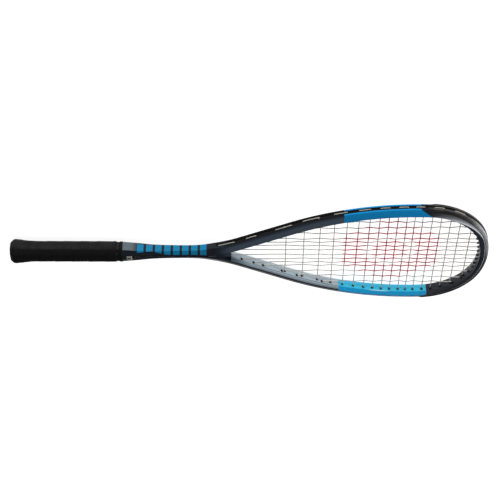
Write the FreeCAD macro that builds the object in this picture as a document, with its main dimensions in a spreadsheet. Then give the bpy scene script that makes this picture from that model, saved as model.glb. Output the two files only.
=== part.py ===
"""Squash racket with a V throat, as a parametric FreeCAD document.

Frame of the part, in millimetres: origin at the centre of the butt end, +X towards the tip,
+Y across the strings, +Z square to the string bed.
"""
import FreeCAD, Part
import math
import os

import Sketcher
from FreeCAD import Placement, Rotation, Vector

doc = FreeCAD.newDocument("SquashRacket")

# ---------------------------------------------------------------- driving dimensions

DIMENSIONS = {
    # hoop centreline: three arcs, a straight throat leg and a reverse arc into the shaft
    "tip_centre": 678.6,
    "tip_radius": 136.9,
    "tip_sweep": 13.1,
    "shoulder_radius": 86.5,
    "shoulder_sweep": 74.5,
    "side_radius": 397.7,
    "side_sweep": 28.4,
    "throat_leg": 82.5,
    "neck_radius": 176.0,
    "shaft_joint": 245.0,
    # tube section: wide flat inner wall, crest near it, sloping faces, narrow outer wall
    "tube_half_width": 6.0,
    "inner_flat": 4.0,
    "crest_inset": 4.5,
    "crest_half": 10.2,
    "outer_flat": 5.2,
    "cavity_inner": 4.5,
    "cavity_inner_flat": 3.9,
    "cavity_crest_inset": 3.2,
    "cavity_crest": 8.2,
    "cavity_outer": 1.6,
    "cavity_outer_flat": 5.3,
    "channel_floor": 3.0,
    "channel_floor_gap": 3.05,
    "tube_side_gap": 6.06,
    "channel_half": 2.75,
    "throat_start": 294.0,
    "web_back": 262.0,
    "web_front": 312.0,
    "web_reach": 5.0,
    "web_spread": 11.0,
    "web_half": 8.5,
    # shaft sections: side half-width and flat, top flat and half-height
    "neck_side": 8.9,
    "neck_side_flat": 5.1,
    "neck_top_flat": 1.6,
    "neck_top": 9.2,
    "waist_at": 205.0,
    "waist_side": 8.9,
    "waist_side_flat": 5.8,
    "waist_top_flat": 4.3,
    "waist_top": 9.8,
    "flare_at": 185.0,
    "flare_side": 10.7,
    "flare_side_flat": 6.7,
    "flare_top_flat": 5.3,
    "flare_top": 11.4,
    "shoulder_at": 161.4,
    "shoulder_side": 13.2,
    "shoulder_side_flat": 6.9,
    "shoulder_top_flat": 6.7,
    "shoulder_top": 12.7,
    "core_start": 6.0,
    "core_side": 10.6,
    "core_side_flat": 5.2,
    "core_top_flat": 5.0,
    "core_top": 9.2,
    # hollow of the shaft: a long cone and a short bore that opens into the two tubes
    "core_wall": 1.6,
    "neck_wall": 2.4,
    "bore_back": 10.0,
    "bore_front": 241.0,
    "link_radius": 6.0,
    "link_back": 240.2,
    "link_front": 248.2,
    # handle: octagon of the bare pallets, scaled for the cap and the grip
    "pallet_start": 4.0,
    "pallet_side": 13.4,
    "pallet_side_flat": 5.6,
    "pallet_top_flat": 6.8,
    "pallet_top": 11.5,
    "pallet_gap": 0.2,
    "grip_end": 152.3,
    "band_gap": 0.1,
    "tape_end": 156.5,
    "tape_thick": 1.0,
    "collar_end": 161.2,
    "collar_thick": 1.6,
    "badge_radius": 8.0,
    "badge_thick": 1.2,
    # strings and the grommets that lead them through the frame
    "string_radius": 0.6,
    "string_rise": 0.62,
    "bore_radius": 0.82,
    "barrel_radius": 1.8,
    "hole_radius": 2.0,
    "hole_spacing": 4.7,
    "barrel_proud": 1.5,
    "tip_barrel_proud": 2.6,
    "barrel_root": 3.4,
    "string_tail": 5.0,
    "strip_top": 4.35,
    "strip_half": 2.65,
    "strip_rim_half": 1.95,
    "strip_rim": 5.8,
    "string_lift": 5.15,
    "side_start": 400.0,
    "strip_gap": 0.5,
    "bumper_start": 590.0,
    "bumper_outer": 7.4,
    # bumper guard: lips that lap over the sloping faces of the tube
    "bumper_rail": 4.7,
    "bumper_rail_inside": 5.3,
    "bumper_brow": 6.6,
    "bumper_brow_half": 5.9,
    "bumper_lip": 3.3,
    "bumper_lip_end": 3.6,
    "bumper_lip_inside": 6.72,
    "bumper_lip_half": 7.6,
    # small fixings
    "staple_width": 8.0,
    "staple_leg": 6.0,
    "staple_wire": 0.7,
    "cap_staple_at": 17.0,
    "cap_staple_seat": 13.1,
    "grip_staple_at": 8.0,
    "grip_staple_seat": 15.0,
    "label_length": 8.0,
    "label_width": 9.0,
    "label_thick": 0.2,
    "label_at": 171.0,
}

# Half-width positions of the long strings where they enter the tip and the throat, which fan
# a little at the outer holes, and the places of the cross strings.
TIP_OFFSETS = (4.9, 14.3, 23.6, 32.9, 44.3, 58.0, 72.0)
THROAT_OFFSETS = (6.4, 15.7, 24.1, 30.8, 44.3, 55.0, 70.0)
CROSS_PLACES = (395.3, 420.9, 443.3, 463.3, 480.9, 497.1, 512.4, 526.1, 538.9,
                551.3, 563.9, 574.9, 586.0, 599.3, 611.9, 625.6, 640.5, 654.9)

# How far the butt cap and the grip swell over the pallets: (X, scale of the pallet octagon).
CAP_PROFILE = ((0.0, 1.04), (3.0, 1.17), (7.0, 1.225), (14.0, 1.18), (20.0, 1.10), (30.0, 1.02))
GRIP_SCALE = 1.138
GRIP_PROFILE = ((3.0, 1.27), (7.0, 1.34), (14.0, 1.30), (20.0, 1.225), (30.0, 1.155),
                (36.0, GRIP_SCALE))

# Boxes that pick out a region reach this far along X, Y and Z, past every part.
FAR, WIDE, DEEP = 800.0, 200.0, 40.0

# Longest straight step of a string along the bend of the outer channel.
CHANNEL_STEP = 8.0

sheet = doc.addObject("Spreadsheet::Sheet", "Dimensions")
for row, (alias, value) in enumerate(DIMENSIONS.items(), start=1):
    sheet.set("A%d" % row, alias)
    sheet.set("B%d" % row, str(value))
    sheet.setAlias("B%d" % row, alias)
doc.recompute()


def dim(alias):
    """The value of one cell of the sheet."""
    return float(sheet.get(alias))


def bind(item, prop, formula):
    """Bind a property to the sheet; @name in the formula is a cell."""
    item.setExpression(prop, formula.replace("@", "Dimensions."))


# ---------------------------------------------------------------- hoop centreline

def hoop_segments():
    """The centreline of the +Y half, from the tip to the shaft, as arcs and lines.

    Each segment is (kind, start point, start heading, radius or 0, length). A positive
    radius turns left and a negative one turns right.
    """
    sweeps = ((dim("tip_radius"), dim("tip_sweep")),
              (dim("shoulder_radius"), dim("shoulder_sweep")),
              (dim("side_radius"), dim("side_sweep")))
    segments = []
    place = Vector(dim("tip_centre"), 0, 0)
    heading = math.pi / 2

    def add(radius, length):
        nonlocal place, heading
        segments.append((place, heading, radius, length))
        place, heading = walk(segments[-1], length)

    for radius, sweep in sweeps:
        add(radius, radius * math.radians(sweep))
    add(0, dim("throat_leg"))
    add(-dim("neck_radius"), dim("neck_radius") * (heading - math.pi))
    add(0, place.x - dim("shaft_joint"))
    return segments


def walk(segment, distance):
    """Point and heading at a distance along one segment."""
    start, heading, radius, _ = segment
    if radius == 0:
        return start + Vector(math.cos(heading), math.sin(heading), 0) * distance, heading
    turned = heading + distance / radius
    step = Vector(math.sin(turned) - math.sin(heading), math.cos(heading) - math.cos(turned), 0)
    return start + step * radius, turned


SEGMENTS = hoop_segments()
HOOP_LENGTH = sum(segment[3] for segment in SEGMENTS)


def station(distance):
    """Centreline point and the outward normal of the tube at a distance from the tip."""
    for segment in SEGMENTS:
        if distance <= segment[3] or segment is SEGMENTS[-1]:
            point, heading = walk(segment, distance)
            return point, Vector(math.sin(heading), -math.cos(heading), 0)
        distance -= segment[3]


def rail_point(distance, offset):
    """Point at an outward offset from the centreline."""
    point, outward = station(distance)
    return point + outward * offset


def draw_centreline():
    sketch = doc.addObject("Sketcher::SketchObject", "HoopLine")
    for start, heading, radius, length in SEGMENTS:
        end, _ = walk((start, heading, radius, length), length)
        if radius == 0:
            sketch.addGeometry(Part.LineSegment(start, end))
        else:
            middle, _ = walk((start, heading, radius, length), length / 2)
            sketch.addGeometry(Part.Arc(start, middle, end))
    first, second, side, leg, neck, tail = range(6)
    start_point, end_point, centre = 1, 2, 3
    # The first three arcs run anticlockwise from the tip; the neck arc is drawn the other way.
    joints = ((first, end_point, second, start_point), (second, end_point, side, start_point),
              (side, end_point, leg, start_point), (leg, end_point, neck, end_point),
              (neck, start_point, tail, start_point))
    for joint in joints:
        sketch.addConstraint(Sketcher.Constraint("Coincident", *joint))
    for arc, alias in ((first, "tip_radius"), (second, "shoulder_radius"),
                       (side, "side_radius"), (neck, "neck_radius")):
        index = sketch.addConstraint(Sketcher.Constraint("Radius", arc, dim(alias)))
        bind(sketch, "Constraints[%d]" % index, "@%s" % alias)
    sketch.addConstraint(Sketcher.Constraint("PointOnObject", first, start_point, -1))
    sketch.addConstraint(Sketcher.Constraint("PointOnObject", first, centre, -1))
    index = sketch.addConstraint(
        Sketcher.Constraint("DistanceX", -1, 1, first, start_point, dim("tip_centre")))
    bind(sketch, "Constraints[%d]" % index, "@tip_centre")
    sketch.addConstraint(Sketcher.Constraint("Horizontal", tail))
    index = sketch.addConstraint(
        Sketcher.Constraint("DistanceX", -1, 1, tail, end_point, dim("shaft_joint")))
    bind(sketch, "Constraints[%d]" % index, "@shaft_joint")
    return sketch


# ---------------------------------------------------------------- sketch helpers

def symmetric_outline(name, corners, across_both=False):
    """Sketch of a closed outline that is symmetric about its X axis, or about both axes.

    corners are pairs of formulas in the sheet's aliases, with a sign: the upper half from one
    end to the other, or one quarter. Each given corner is held by two dimensions bound to the
    sheet; the others are held by symmetry.
    """
    values = [(signed(a), signed(b)) for a, b in corners]
    if across_both:
        quarter = list(values)
        values = quarter + [(-x, y) for x, y in reversed(quarter)]
    upper = len(values)
    points = values + [(x, -y) for x, y in reversed(values)]
    sketch = doc.addObject("Sketcher::SketchObject", name)
    count = len(points)
    for index in range(count):
        x0, y0 = points[index]
        x1, y1 = points[(index + 1) % count]
        sketch.addGeometry(Part.LineSegment(Vector(x0, y0, 0), Vector(x1, y1, 0)))
    for index in range(count):
        sketch.addConstraint(
            Sketcher.Constraint("Coincident", index, 2, (index + 1) % count, 1))
    for index, (a, b) in enumerate(corners):
        for kind, formula, value in (("DistanceX", a, values[index][0]),
                                     ("DistanceY", b, values[index][1])):
            number = sketch.addConstraint(
                Sketcher.Constraint(kind, -1, 1, index, 1, value))
            bind(sketch, "Constraints[%d]" % number, with_cells(formula))
    if across_both:
        for index in range(len(corners)):
            sketch.addConstraint(
                Sketcher.Constraint("Symmetric", index, 1, upper - 1 - index, 1, -2))
    for index in range(upper):
        sketch.addConstraint(
            Sketcher.Constraint("Symmetric", index, 1, count - 1 - index, 1, -1))
    return sketch


def signed(formula):
    """Value of an alias with an optional leading minus sign."""
    if formula.startswith("-"):
        return -dim(formula[1:])
    return dim(formula)


def with_cells(formula):
    return formula.replace("-", "-@") if formula.startswith("-") else "@" + formula


def stand_across_tube(sketch):
    """Place a section at the tip: its X is outward along +X and its Y is up along +Z."""
    sketch.Placement = Placement(Vector(dim("tip_centre"), 0, 0), Rotation(Vector(1, 0, 0), 90))
    bind(sketch, "Placement.Base.x", "@tip_centre")


def stand_across_handle(sketch, x):
    """Place a section square to the handle: its X lies along +Y and its Y along +Z."""
    turn = Rotation(Vector(0, 1, 0), Vector(0, 0, 1), Vector(1, 0, 0), "ZXY")
    sketch.Placement = Placement(Vector(x, 0, 0), turn)


def lay_along_handle(item, x):
    """Turn a cone or a cylinder so that it runs towards the tip from a place along X."""
    item.Placement = Placement(Vector(x, 0, 0), Rotation(Vector(0, 1, 0), 90))


def octagon(name, prefix, x):
    """Octagon square to the handle, sized by the four cells that start with prefix."""
    corners = ((prefix + "_side", prefix + "_side_flat"), (prefix + "_top_flat", prefix + "_top"))
    sketch = symmetric_outline(name, corners, across_both=True)
    stand_across_handle(sketch, x)
    return sketch


# ---------------------------------------------------------------- object helpers

def along_hoop(name, section, spine):
    """Sweep of a section round the +Y half of the hoop."""
    sweep = doc.addObject("Part::Sweep", name)
    sweep.Sections = [section]
    sweep.Spine = (spine, ["Edge%d" % n for n in range(1, len(SEGMENTS) + 1)])
    sweep.Solid = True
    sweep.Frenet = False
    return sweep


def loft(name, sections):
    item = doc.addObject("Part::Loft", name)
    item.Sections = sections
    item.Solid = True
    item.Ruled = True
    return item


def fuse(name, items):
    item = doc.addObject("Part::MultiFuse", name)
    item.Shapes = items
    item.Refine = False
    return item


def cut(name, base, tool):
    item = doc.addObject("Part::Cut", name)
    item.Base = base
    item.Tool = tool
    item.Refine = False
    return item


def common(name, first, second):
    item = doc.addObject("Part::MultiCommon", name)
    item.Shapes = [first, second]
    return item


def mirror(name, source):
    """Mirror image across the racket's mid-plane."""
    item = doc.addObject("Part::Mirroring", name)
    item.Source = source
    item.Normal = Vector(0, 1, 0)
    return item


def block(name, low, high):
    item = doc.addObject("Part::Box", name)
    item.Length, item.Width, item.Height = (high[k] - low[k] for k in range(3))
    item.Placement.Base = Vector(*low)
    return item


def region(name, low, high=FAR):
    """Everything on the +Y side of the mid-plane between two places along X."""
    return block(name, (low, 0, -DEEP), (high, WIDE, DEEP))


def rod(name, start, end, radius_cell):
    """Cylinder from one point to another, its radius bound to a cell."""
    item = doc.addObject("Part::Cylinder", name)
    run = end - start
    item.Height = run.Length
    item.Placement = Placement(start, Rotation(Vector(0, 0, 1), run))
    bind(item, "Radius", "@" + radius_cell)
    return item


def compound(name, items):
    item = doc.addObject("Part::Compound", name)
    item.Links = items
    return item


def object_name(label):
    """A label's words run together, each with a capital."""
    return "".join(word.capitalize() for word in label.split("_"))


# ---------------------------------------------------------------- string holes

class StringEnd:
    """Where one string goes through the +Y half of the hoop.

    The hole splits the turn between the string's run and the square way through the tube. Its
    mouth is the inner end of the grommet barrel, which stands prouder round the tip.
    """

    def __init__(self, along, distance):
        self.along = along
        self.set(distance)

    def set(self, distance):
        self.distance = distance
        _, outward = station(distance)
        way = (outward + self.along).normalize()
        inner = rail_point(distance, -dim("tube_half_width"))
        self.way = way
        self.slant = 1 / way.dot(outward)
        self.inner = inner
        at_tip = inner.x > dim("bumper_start")
        self.mouth = inner - way * dim("tip_barrel_proud" if at_tip else "barrel_proud")

    def at_offset(self, offset):
        """Point on the hole's axis at an outward offset from the tube's centreline."""
        return self.inner + self.way * (offset + dim("tube_half_width")) * self.slant


def find_end(along, low, high, miss):
    """Slide a hole along the hoop until its mouth lies on the string's line."""
    end = StringEnd(along, low)
    low_side = miss(end) > 0
    for _ in range(50):
        middle = (low + high) / 2
        end.set(middle)
        if (miss(end) > 0) == low_side:
            low = middle
        else:
            high = middle
    return end


def widest_distance():
    """Distance along the centreline to the hoop's widest place."""
    turned, distance = math.pi / 2, 0.0
    for _, _, radius, length in SEGMENTS:
        if turned + length / radius >= math.pi:
            return distance + (math.pi - turned) * radius
        turned += length / radius
        distance += length


WIDEST = widest_distance()
LEG_END = sum(segment[3] for segment in SEGMENTS[:4])
TIP_ENDS = [find_end(Vector(1, 0, 0), 0, WIDEST, lambda end, y=y: end.mouth.y - y)
            for y in TIP_OFFSETS]
THROAT_ENDS = [find_end(Vector(-1, 0, 0), WIDEST, LEG_END + 40, lambda end, y=y: end.mouth.y - y)
               for y in THROAT_OFFSETS]
CROSS_ENDS = [find_end(Vector(0, 1, 0), 0, LEG_END, lambda end, x=x: end.mouth.x - x)
              for x in CROSS_PLACES]


def spread_holes():
    """Move neighbouring holes apart where a long string and a cross string enter together."""
    ends = sorted(TIP_ENDS + THROAT_ENDS + CROSS_ENDS, key=lambda end: end.distance)
    for first, second in zip(ends, ends[1:]):
        short = dim("hole_spacing") - (second.distance - first.distance)
        if short > 0:
            first.set(first.distance - short / 2)
            second.set(second.distance + short / 2)


spread_holes()


def raised(point, height):
    return Vector(point.x, point.y, height)


def mirrored(point):
    return Vector(point.x, -point.y, point.z)


def string_ends():
    """Every hole of the +Y half with the height that its string runs at."""
    rise = dim("string_rise")
    return [(end, rise) for end in TIP_ENDS + THROAT_ENDS] + [(end, -rise) for end in CROSS_ENDS]


def hole_rods(name, radius_cell, inner_offset, outer_offset, ends):
    rods = []
    for number, (end, height) in enumerate(ends):
        start = raised(end.at_offset(inner_offset), height)
        finish = raised(end.at_offset(outer_offset), height)
        rods.append(rod("%s%02d" % (name, number), start, finish, radius_cell))
    return rods


# ---------------------------------------------------------------- carbon frame

def tube_outline(name, cells):
    section = symmetric_outline(name, cells)
    stand_across_tube(section)
    return section


def build_frame(spine):
    outline = tube_outline("TubeSection", (("-tube_half_width", "inner_flat"),
                                           ("-crest_inset", "crest_half"),
                                           ("tube_half_width", "outer_flat")))
    hollow = tube_outline("CavitySection", (("-cavity_inner", "cavity_inner_flat"),
                                            ("-cavity_crest_inset", "cavity_crest"),
                                            ("cavity_outer", "cavity_outer_flat")))
    groove = tube_outline("ChannelSection", (("channel_floor", "channel_half"),
                                             ("bumper_outer", "channel_half")))
    tube = common("TubeHalf", along_hoop("Tube", outline, spine), region("TubeSide", 0))
    cavity = common("CavityHalf", along_hoop("Cavity", hollow, spine), region("CavitySide", 0))
    channel = common("ChannelHalf", along_hoop("Channel", groove, spine),
                     region("ChannelSide", dim("throat_start")))
    shaft_outer, shaft_inner = build_shaft()
    web = build_web()
    solid = fuse("FrameSolid", [tube, mirror("TubeMirror", tube), shaft_outer, web])
    voids = fuse("FrameVoids", [cavity, mirror("CavityMirror", cavity), shaft_inner])
    shell = cut("FrameShell", solid, voids)
    grooved = cut("FrameGrooved", shell, fuse("Channels", [channel,
                                                           mirror("ChannelMirror", channel)]))
    reach = dim("tube_half_width") + 1
    holes = compound("StringHoles", hole_rods("Hole", "hole_radius", -reach, reach,
                                              string_ends()))
    both = compound("AllStringHoles", [holes, mirror("StringHolesMirror", holes)])
    frame = cut("frame", grooved, both)
    return frame


def build_shaft():
    """Octagonal shaft that swells to the handle, and the hollow inside it."""
    outer = [octagon("ShaftNeck", "neck", dim("shaft_joint")),
             octagon("ShaftWaist", "waist", dim("waist_at")),
             octagon("ShaftFlare", "flare", dim("flare_at")),
             octagon("ShaftShoulder", "shoulder", dim("shoulder_at"))]
    core = [octagon("CoreFront", "core", dim("shoulder_at")),
            octagon("CoreBack", "core", dim("core_start"))]
    swell = loft("ShaftSwell", outer)
    tang = loft("ShaftTang", core)
    bore = doc.addObject("Part::Cone", "ShaftBore")
    bind(bore, "Radius1", "@core_top - @core_wall")
    bind(bore, "Radius2", "@neck_top - @neck_wall")
    bind(bore, "Height", "@bore_front - @bore_back")
    lay_along_handle(bore, dim("bore_back"))
    link = doc.addObject("Part::Cylinder", "NeckBore")
    bind(link, "Radius", "@link_radius")
    bind(link, "Height", "@link_front - @link_back")
    lay_along_handle(link, dim("link_back"))
    return fuse("ShaftOuter", [swell, tang]), fuse("ShaftInner", [bore, link])


def build_web():
    """Solid web in the notch of the V, with a round front. It ends inside the tubes' walls."""
    half, back, front = dim("web_half"), dim("web_back"), dim("web_front")
    reach, spread = dim("web_reach"), dim("web_spread")
    low_corner = Vector(front + reach, -spread, -half)
    high_corner = Vector(front + reach, spread, -half)
    root = Vector(back, 0, -half)
    outline = Part.Wire([Part.LineSegment(root, low_corner).toShape(),
                         Part.Arc(low_corner, Vector(front, 0, -half), high_corner).toShape(),
                         Part.LineSegment(high_corner, root).toShape()])
    web = doc.addObject("Part::Feature", "ThroatWeb")
    web.Shape = Part.Face(outline).extrude(Vector(0, 0, 2 * half))
    return web


# ---------------------------------------------------------------- grommets and bumper

def grommet_strip(label, body, ends, mirror_it):
    """A strip with a barrel for each string end, bored for the strings."""
    name = object_name(label)
    barrels = []
    for number, (end, height) in enumerate(ends):
        root = raised(end.at_offset(dim("barrel_root")), height)
        barrels.append(rod("%sBarrel%02d" % (name, number), raised(end.mouth, height), root,
                           "barrel_radius"))
    clear_of_mouths = -2 * dim("tube_half_width")
    bores = hole_rods(name + "Bore", "bore_radius", clear_of_mouths, dim("strip_rim"), ends)
    whole = fuse(name + "Whole", [body] + barrels)
    bored = cut(name + "Bored", whole, compound(name + "Bores", bores))
    if not mirror_it:
        bored.Label = label
        return bored
    item = mirror(name, bored)
    item.Label = label
    return item


def ends_between(low, high):
    """The string ends whose hole leaves the outer wall between two places along X."""
    chosen = []
    for end, height in string_ends():
        if low <= end.at_offset(dim("channel_floor")).x < high:
            chosen.append((end, height))
    return chosen


def build_grommets(spine):
    section = tube_outline("StripSection", (("channel_floor_gap", "strip_half"),
                                            ("strip_rim", "strip_half"),
                                            ("strip_rim", "strip_rim_half"),
                                            ("strip_top", "strip_rim_half")))
    strip = along_hoop("Strip", section, spine)
    parts = []
    gap = dim("strip_gap")
    ranges = (("throat", dim("throat_start") + gap, dim("side_start") - gap),
              ("side", dim("side_start") + gap, dim("bumper_start") - gap))
    for place, low, high in ranges:
        for side, flipped in (("left", False), ("right", True)):
            label = "%s_grommets_%s" % (place, side)
            name = object_name(label)
            body = common(name + "Body", strip, region(name + "Range", low, high))
            parts.append(grommet_strip(label, body, ends_between(low, high), flipped))
    return parts


def build_bumper(spine):
    section = tube_outline("BumperSection", (("channel_floor_gap", "strip_half"),
                                             ("tube_side_gap", "strip_half"),
                                             ("tube_side_gap", "bumper_rail_inside"),
                                             ("bumper_lip", "bumper_lip_inside"),
                                             ("bumper_lip_end", "bumper_lip_half"),
                                             ("bumper_brow", "bumper_brow_half"),
                                             ("bumper_outer", "bumper_rail"),
                                             ("bumper_outer", "strip_rim_half"),
                                             ("strip_top", "strip_rim_half")))
    start = dim("bumper_start")
    half = common("BumperRail", along_hoop("Bumper", section, spine),
                  region("BumperRange", start))
    left = grommet_strip("bumper_half", half, ends_between(start, FAR), False)
    both = fuse("BumperGuard", [left, mirror("BumperMirror", left)])
    both.Label = "bumper_guard"
    return both


# ---------------------------------------------------------------- strings

def channel_run(first, second, lift):
    """Points along the outer channel between two holes, close enough to follow its bend."""
    low, high = first.distance, second.distance
    low = distance_of(first.at_offset(lift), low)
    high = distance_of(second.at_offset(lift), high)
    steps = max(1, round(abs(high - low) / CHANNEL_STEP))
    return [rail_point(low + (high - low) * k / steps, lift) for k in range(1, steps)]


def distance_of(point, guess):
    """Distance along the centreline of the station that faces a point."""
    for _ in range(20):
        centre, outward = station(guess)
        forward = Vector(-outward.y, outward.x, 0)
        guess += (point - centre).dot(forward)
    return guess


def main_route():
    """One string: seven runs on each side, joined round the tip and in the throat channels."""
    lift, tail = dim("string_lift"), dim("string_tail")
    middle = TIP_ENDS[0]
    half = [rail_point(distance_of(middle.at_offset(lift), middle.distance) / 2, lift)]
    for number, (tip, throat) in enumerate(zip(TIP_ENDS, THROAT_ENDS)):
        outward = [tip.at_offset(lift), tip.mouth, throat.mouth, throat.at_offset(lift)]
        half += outward if number % 2 == 0 else outward[::-1]
        if number + 1 < len(TIP_ENDS):
            ends = THROAT_ENDS if number % 2 == 0 else TIP_ENDS
            half += channel_run(ends[number], ends[number + 1], lift)
    last = THROAT_ENDS[-1]
    half.append(rail_point(distance_of(last.at_offset(lift), last.distance) + tail, lift))
    return [mirrored(point) for point in reversed(half)] + half


def cross_route():
    """One string that crosses from side to side, from the throat to the tip."""
    lift, tail = dim("string_lift"), dim("string_tail")
    first, last = CROSS_ENDS[0], CROSS_ENDS[-1]
    route = [rail_point(distance_of(first.at_offset(lift), first.distance) + tail, lift)]
    for number, end in enumerate(CROSS_ENDS):
        across = [end.at_offset(lift), end.mouth, mirrored(end.mouth),
                  mirrored(end.at_offset(lift))]
        route += across if number % 2 == 0 else across[::-1]
        if number + 1 < len(CROSS_ENDS):
            bend = channel_run(end, CROSS_ENDS[number + 1], lift)
            route += [mirrored(point) for point in bend] if number % 2 == 0 else bend
    stop = rail_point(distance_of(last.at_offset(lift), last.distance) - tail, lift)
    route.append(mirrored(stop) if len(CROSS_ENDS) % 2 == 1 else stop)
    return route


def build_string(label, route, height):
    """A round string swept along its route at one height."""
    name = object_name(label)
    path = doc.addObject("Sketcher::SketchObject", name + "Path")
    for start, end in zip(route, route[1:]):
        path.addGeometry(Part.LineSegment(Vector(start.x, start.y, 0), Vector(end.x, end.y, 0)))
    path.Placement.Base = Vector(0, 0, height)
    circle = doc.addObject("Part::Circle", name + "Section")
    bind(circle, "Radius", "@string_radius")
    start = raised(route[0], height)
    circle.Placement = Placement(start, Rotation(Vector(0, 0, 1), route[1] - route[0]))
    string = doc.addObject("Part::Sweep", name)
    string.Sections = [circle]
    string.Spine = (path, ["Edge%d" % n for n in range(1, len(route))])
    string.Solid = True
    string.Transition = "Right corner"
    string.Label = label
    return string


# ---------------------------------------------------------------- handle

def scaled_octagon(name, x, scale):
    """The pallet octagon, scaled, square to the handle."""
    sketch = doc.addObject("Sketcher::SketchObject", name)
    side, side_flat = dim("pallet_side") * scale, dim("pallet_side_flat") * scale
    top_flat, top = dim("pallet_top_flat") * scale, dim("pallet_top") * scale
    quarter = ((side, side_flat), (top_flat, top))
    points = [(a, b) for a, b in quarter] + [(-a, b) for a, b in reversed(quarter)]
    points += [(a, -b) for a, b in reversed(points)]
    for start, end in zip(points, points[1:] + points[:1]):
        sketch.addGeometry(Part.LineSegment(Vector(*start, 0), Vector(*end, 0)))
    stand_across_handle(sketch, x)
    return sketch


def scaled_loft(name, profile):
    sections = [scaled_octagon("%sRing%d" % (name, number), x, scale)
                for number, (x, scale) in enumerate(profile)]
    return loft(name, sections)


def staple(name, centre, turn):
    """U-shaped wire staple: crown across the handle and two legs."""
    wire, width, leg = dim("staple_wire"), dim("staple_width"), dim("staple_leg")
    crown = block(name + "Crown", (-wire / 2, -width / 2, -wire), (wire / 2, width / 2, 0))
    legs = [block(name + side, (-wire / 2, y, -leg), (wire / 2, y + wire, 0))
            for side, y in (("LegA", -width / 2), ("LegB", width / 2 - wire))]
    item = fuse(name, [crown] + legs)
    item.Placement = Placement(centre, Rotation(Vector(1, 0, 0), turn))
    return item


def build_handle():
    core = loft("CoreRoom", [octagon("CoreRoomFront", "core", dim("shoulder_at")),
                             octagon("CoreRoomBack", "core", dim("pallet_start"))])
    pallet_front = dim("shoulder_at") - dim("pallet_gap")
    pallet_body = loft("PalletBody", [octagon("PalletFront", "pallet", pallet_front),
                                      octagon("PalletBack", "pallet", dim("pallet_start"))])
    cap_outer = scaled_loft("CapOuter", CAP_PROFILE)
    grip_outer = scaled_loft("GripOuter", GRIP_PROFILE + ((dim("grip_end"), GRIP_SCALE),))

    staple_at, seat = dim("cap_staple_at"), dim("cap_staple_seat")
    upper_staple = staple("CapStapleUpper", Vector(staple_at, 0, seat), 0)
    lower_staple = staple("CapStapleLower", Vector(staple_at, 0, -seat), 180)
    cap_staples = compound("CapStaples", [upper_staple, lower_staple])
    cap_staples.Label = "butt_cap_staples"
    grip_staple = staple("GripStaple", Vector(dim("grip_staple_at"), 0, dim("grip_staple_seat")),
                         0)
    grip_staple.Label = "grip_staple"
    all_staples = compound("AllStaples", [cap_staples, grip_staple])

    hollow_pallets = cut("PalletsHollow", pallet_body, core)
    pallets = cut("PalletsPierced", hollow_pallets, all_staples)
    above = block("AboveMiddle", (0, -WIDE, 0), (FAR, WIDE, DEEP))
    below = block("BelowMiddle", (0, -WIDE, -DEEP), (FAR, WIDE, 0))
    upper = common("PalletUpper", pallets, above)
    upper.Label = "handle_pallet_upper"
    lower = common("PalletLower", pallets, below)
    lower.Label = "handle_pallet_lower"

    badge = doc.addObject("Part::Cylinder", "ButtBadge")
    bind(badge, "Radius", "@badge_radius")
    bind(badge, "Height", "@badge_thick")
    badge.Placement = Placement(Vector(0, 0, 0), Rotation(Vector(0, 1, 0), 90))
    badge.Label = "butt_badge"
    cap_cup = cut("CapCup", cap_outer, pallet_body)
    cap_recessed = cut("CapRecessed", cap_cup, badge)
    cap = cut("ButtCap", cap_recessed, all_staples)
    cap.Label = "butt_cap"

    inner = fuse("GripRoom", [cap_outer, pallet_body, all_staples])
    grip = cut("GripWrap", grip_outer, inner)
    grip.Label = "grip_wrap"
    return [upper, lower, cap, badge, cap_staples, grip_staple, grip]


def build_bands():
    """Finishing tape and rubber collar at the top of the grip."""
    bands = []
    gap = dim("band_gap")
    for label, low, high, thick in (
            ("finishing_tape", dim("grip_end") + gap, dim("tape_end"), dim("tape_thick")),
            ("grip_collar", dim("tape_end") + gap, dim("collar_end"), dim("collar_thick"))):
        name = object_name(label)
        scale = 1 + thick / dim("pallet_side")
        outer = scaled_loft(name + "Outer", ((low, scale), (high, scale)))
        inner = scaled_loft(name + "Inner", ((low - 1, 1.0), (high + 1, 1.0)))
        band = cut(name, outer, inner)
        band.Label = label
        bands.append(band)
    return bands


def build_label():
    """Thin blank label on the shaft's sloping top flat."""
    label = doc.addObject("Part::Box", "SpecLabel")
    bind(label, "Length", "@label_length")
    bind(label, "Width", "@label_width")
    bind(label, "Height", "@label_thick")
    fall = dim("shoulder_top") - dim("flare_top")
    run = dim("flare_at") - dim("shoulder_at")
    slope = math.atan2(fall, run)
    back = dim("label_at") - dim("label_length") / 2
    height = dim("shoulder_top") - (back - dim("shoulder_at")) * fall / run
    turn = Rotation(Vector(0, 1, 0), math.degrees(slope))
    label.Placement = Placement(Vector(back, -dim("label_width") / 2, height), turn)
    label.Label = "spec_label"
    return label


# ---------------------------------------------------------------- build, check and write

def check(parts):
    """Stop if any object failed or any sub-part has no valid solid."""
    for item in doc.Objects:
        if any(state in ("Invalid", "Error") for state in item.State):
            raise RuntimeError("%s failed: %s" % (item.Name, item.State))
    for item in parts:
        shape = item.Shape
        if shape.isNull() or not shape.isValid() or not shape.Solids:
            raise RuntimeError("%s has no valid solid" % item.Label)


def write(parts):
    os.makedirs("parts", exist_ok=True)
    for item in parts:
        shape = item.Shape
        print("%-24s solids %d  volume %.0f" % (item.Label, len(shape.Solids), shape.Volume))
        shape.exportStep("parts/%s.step" % item.Label)


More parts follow.
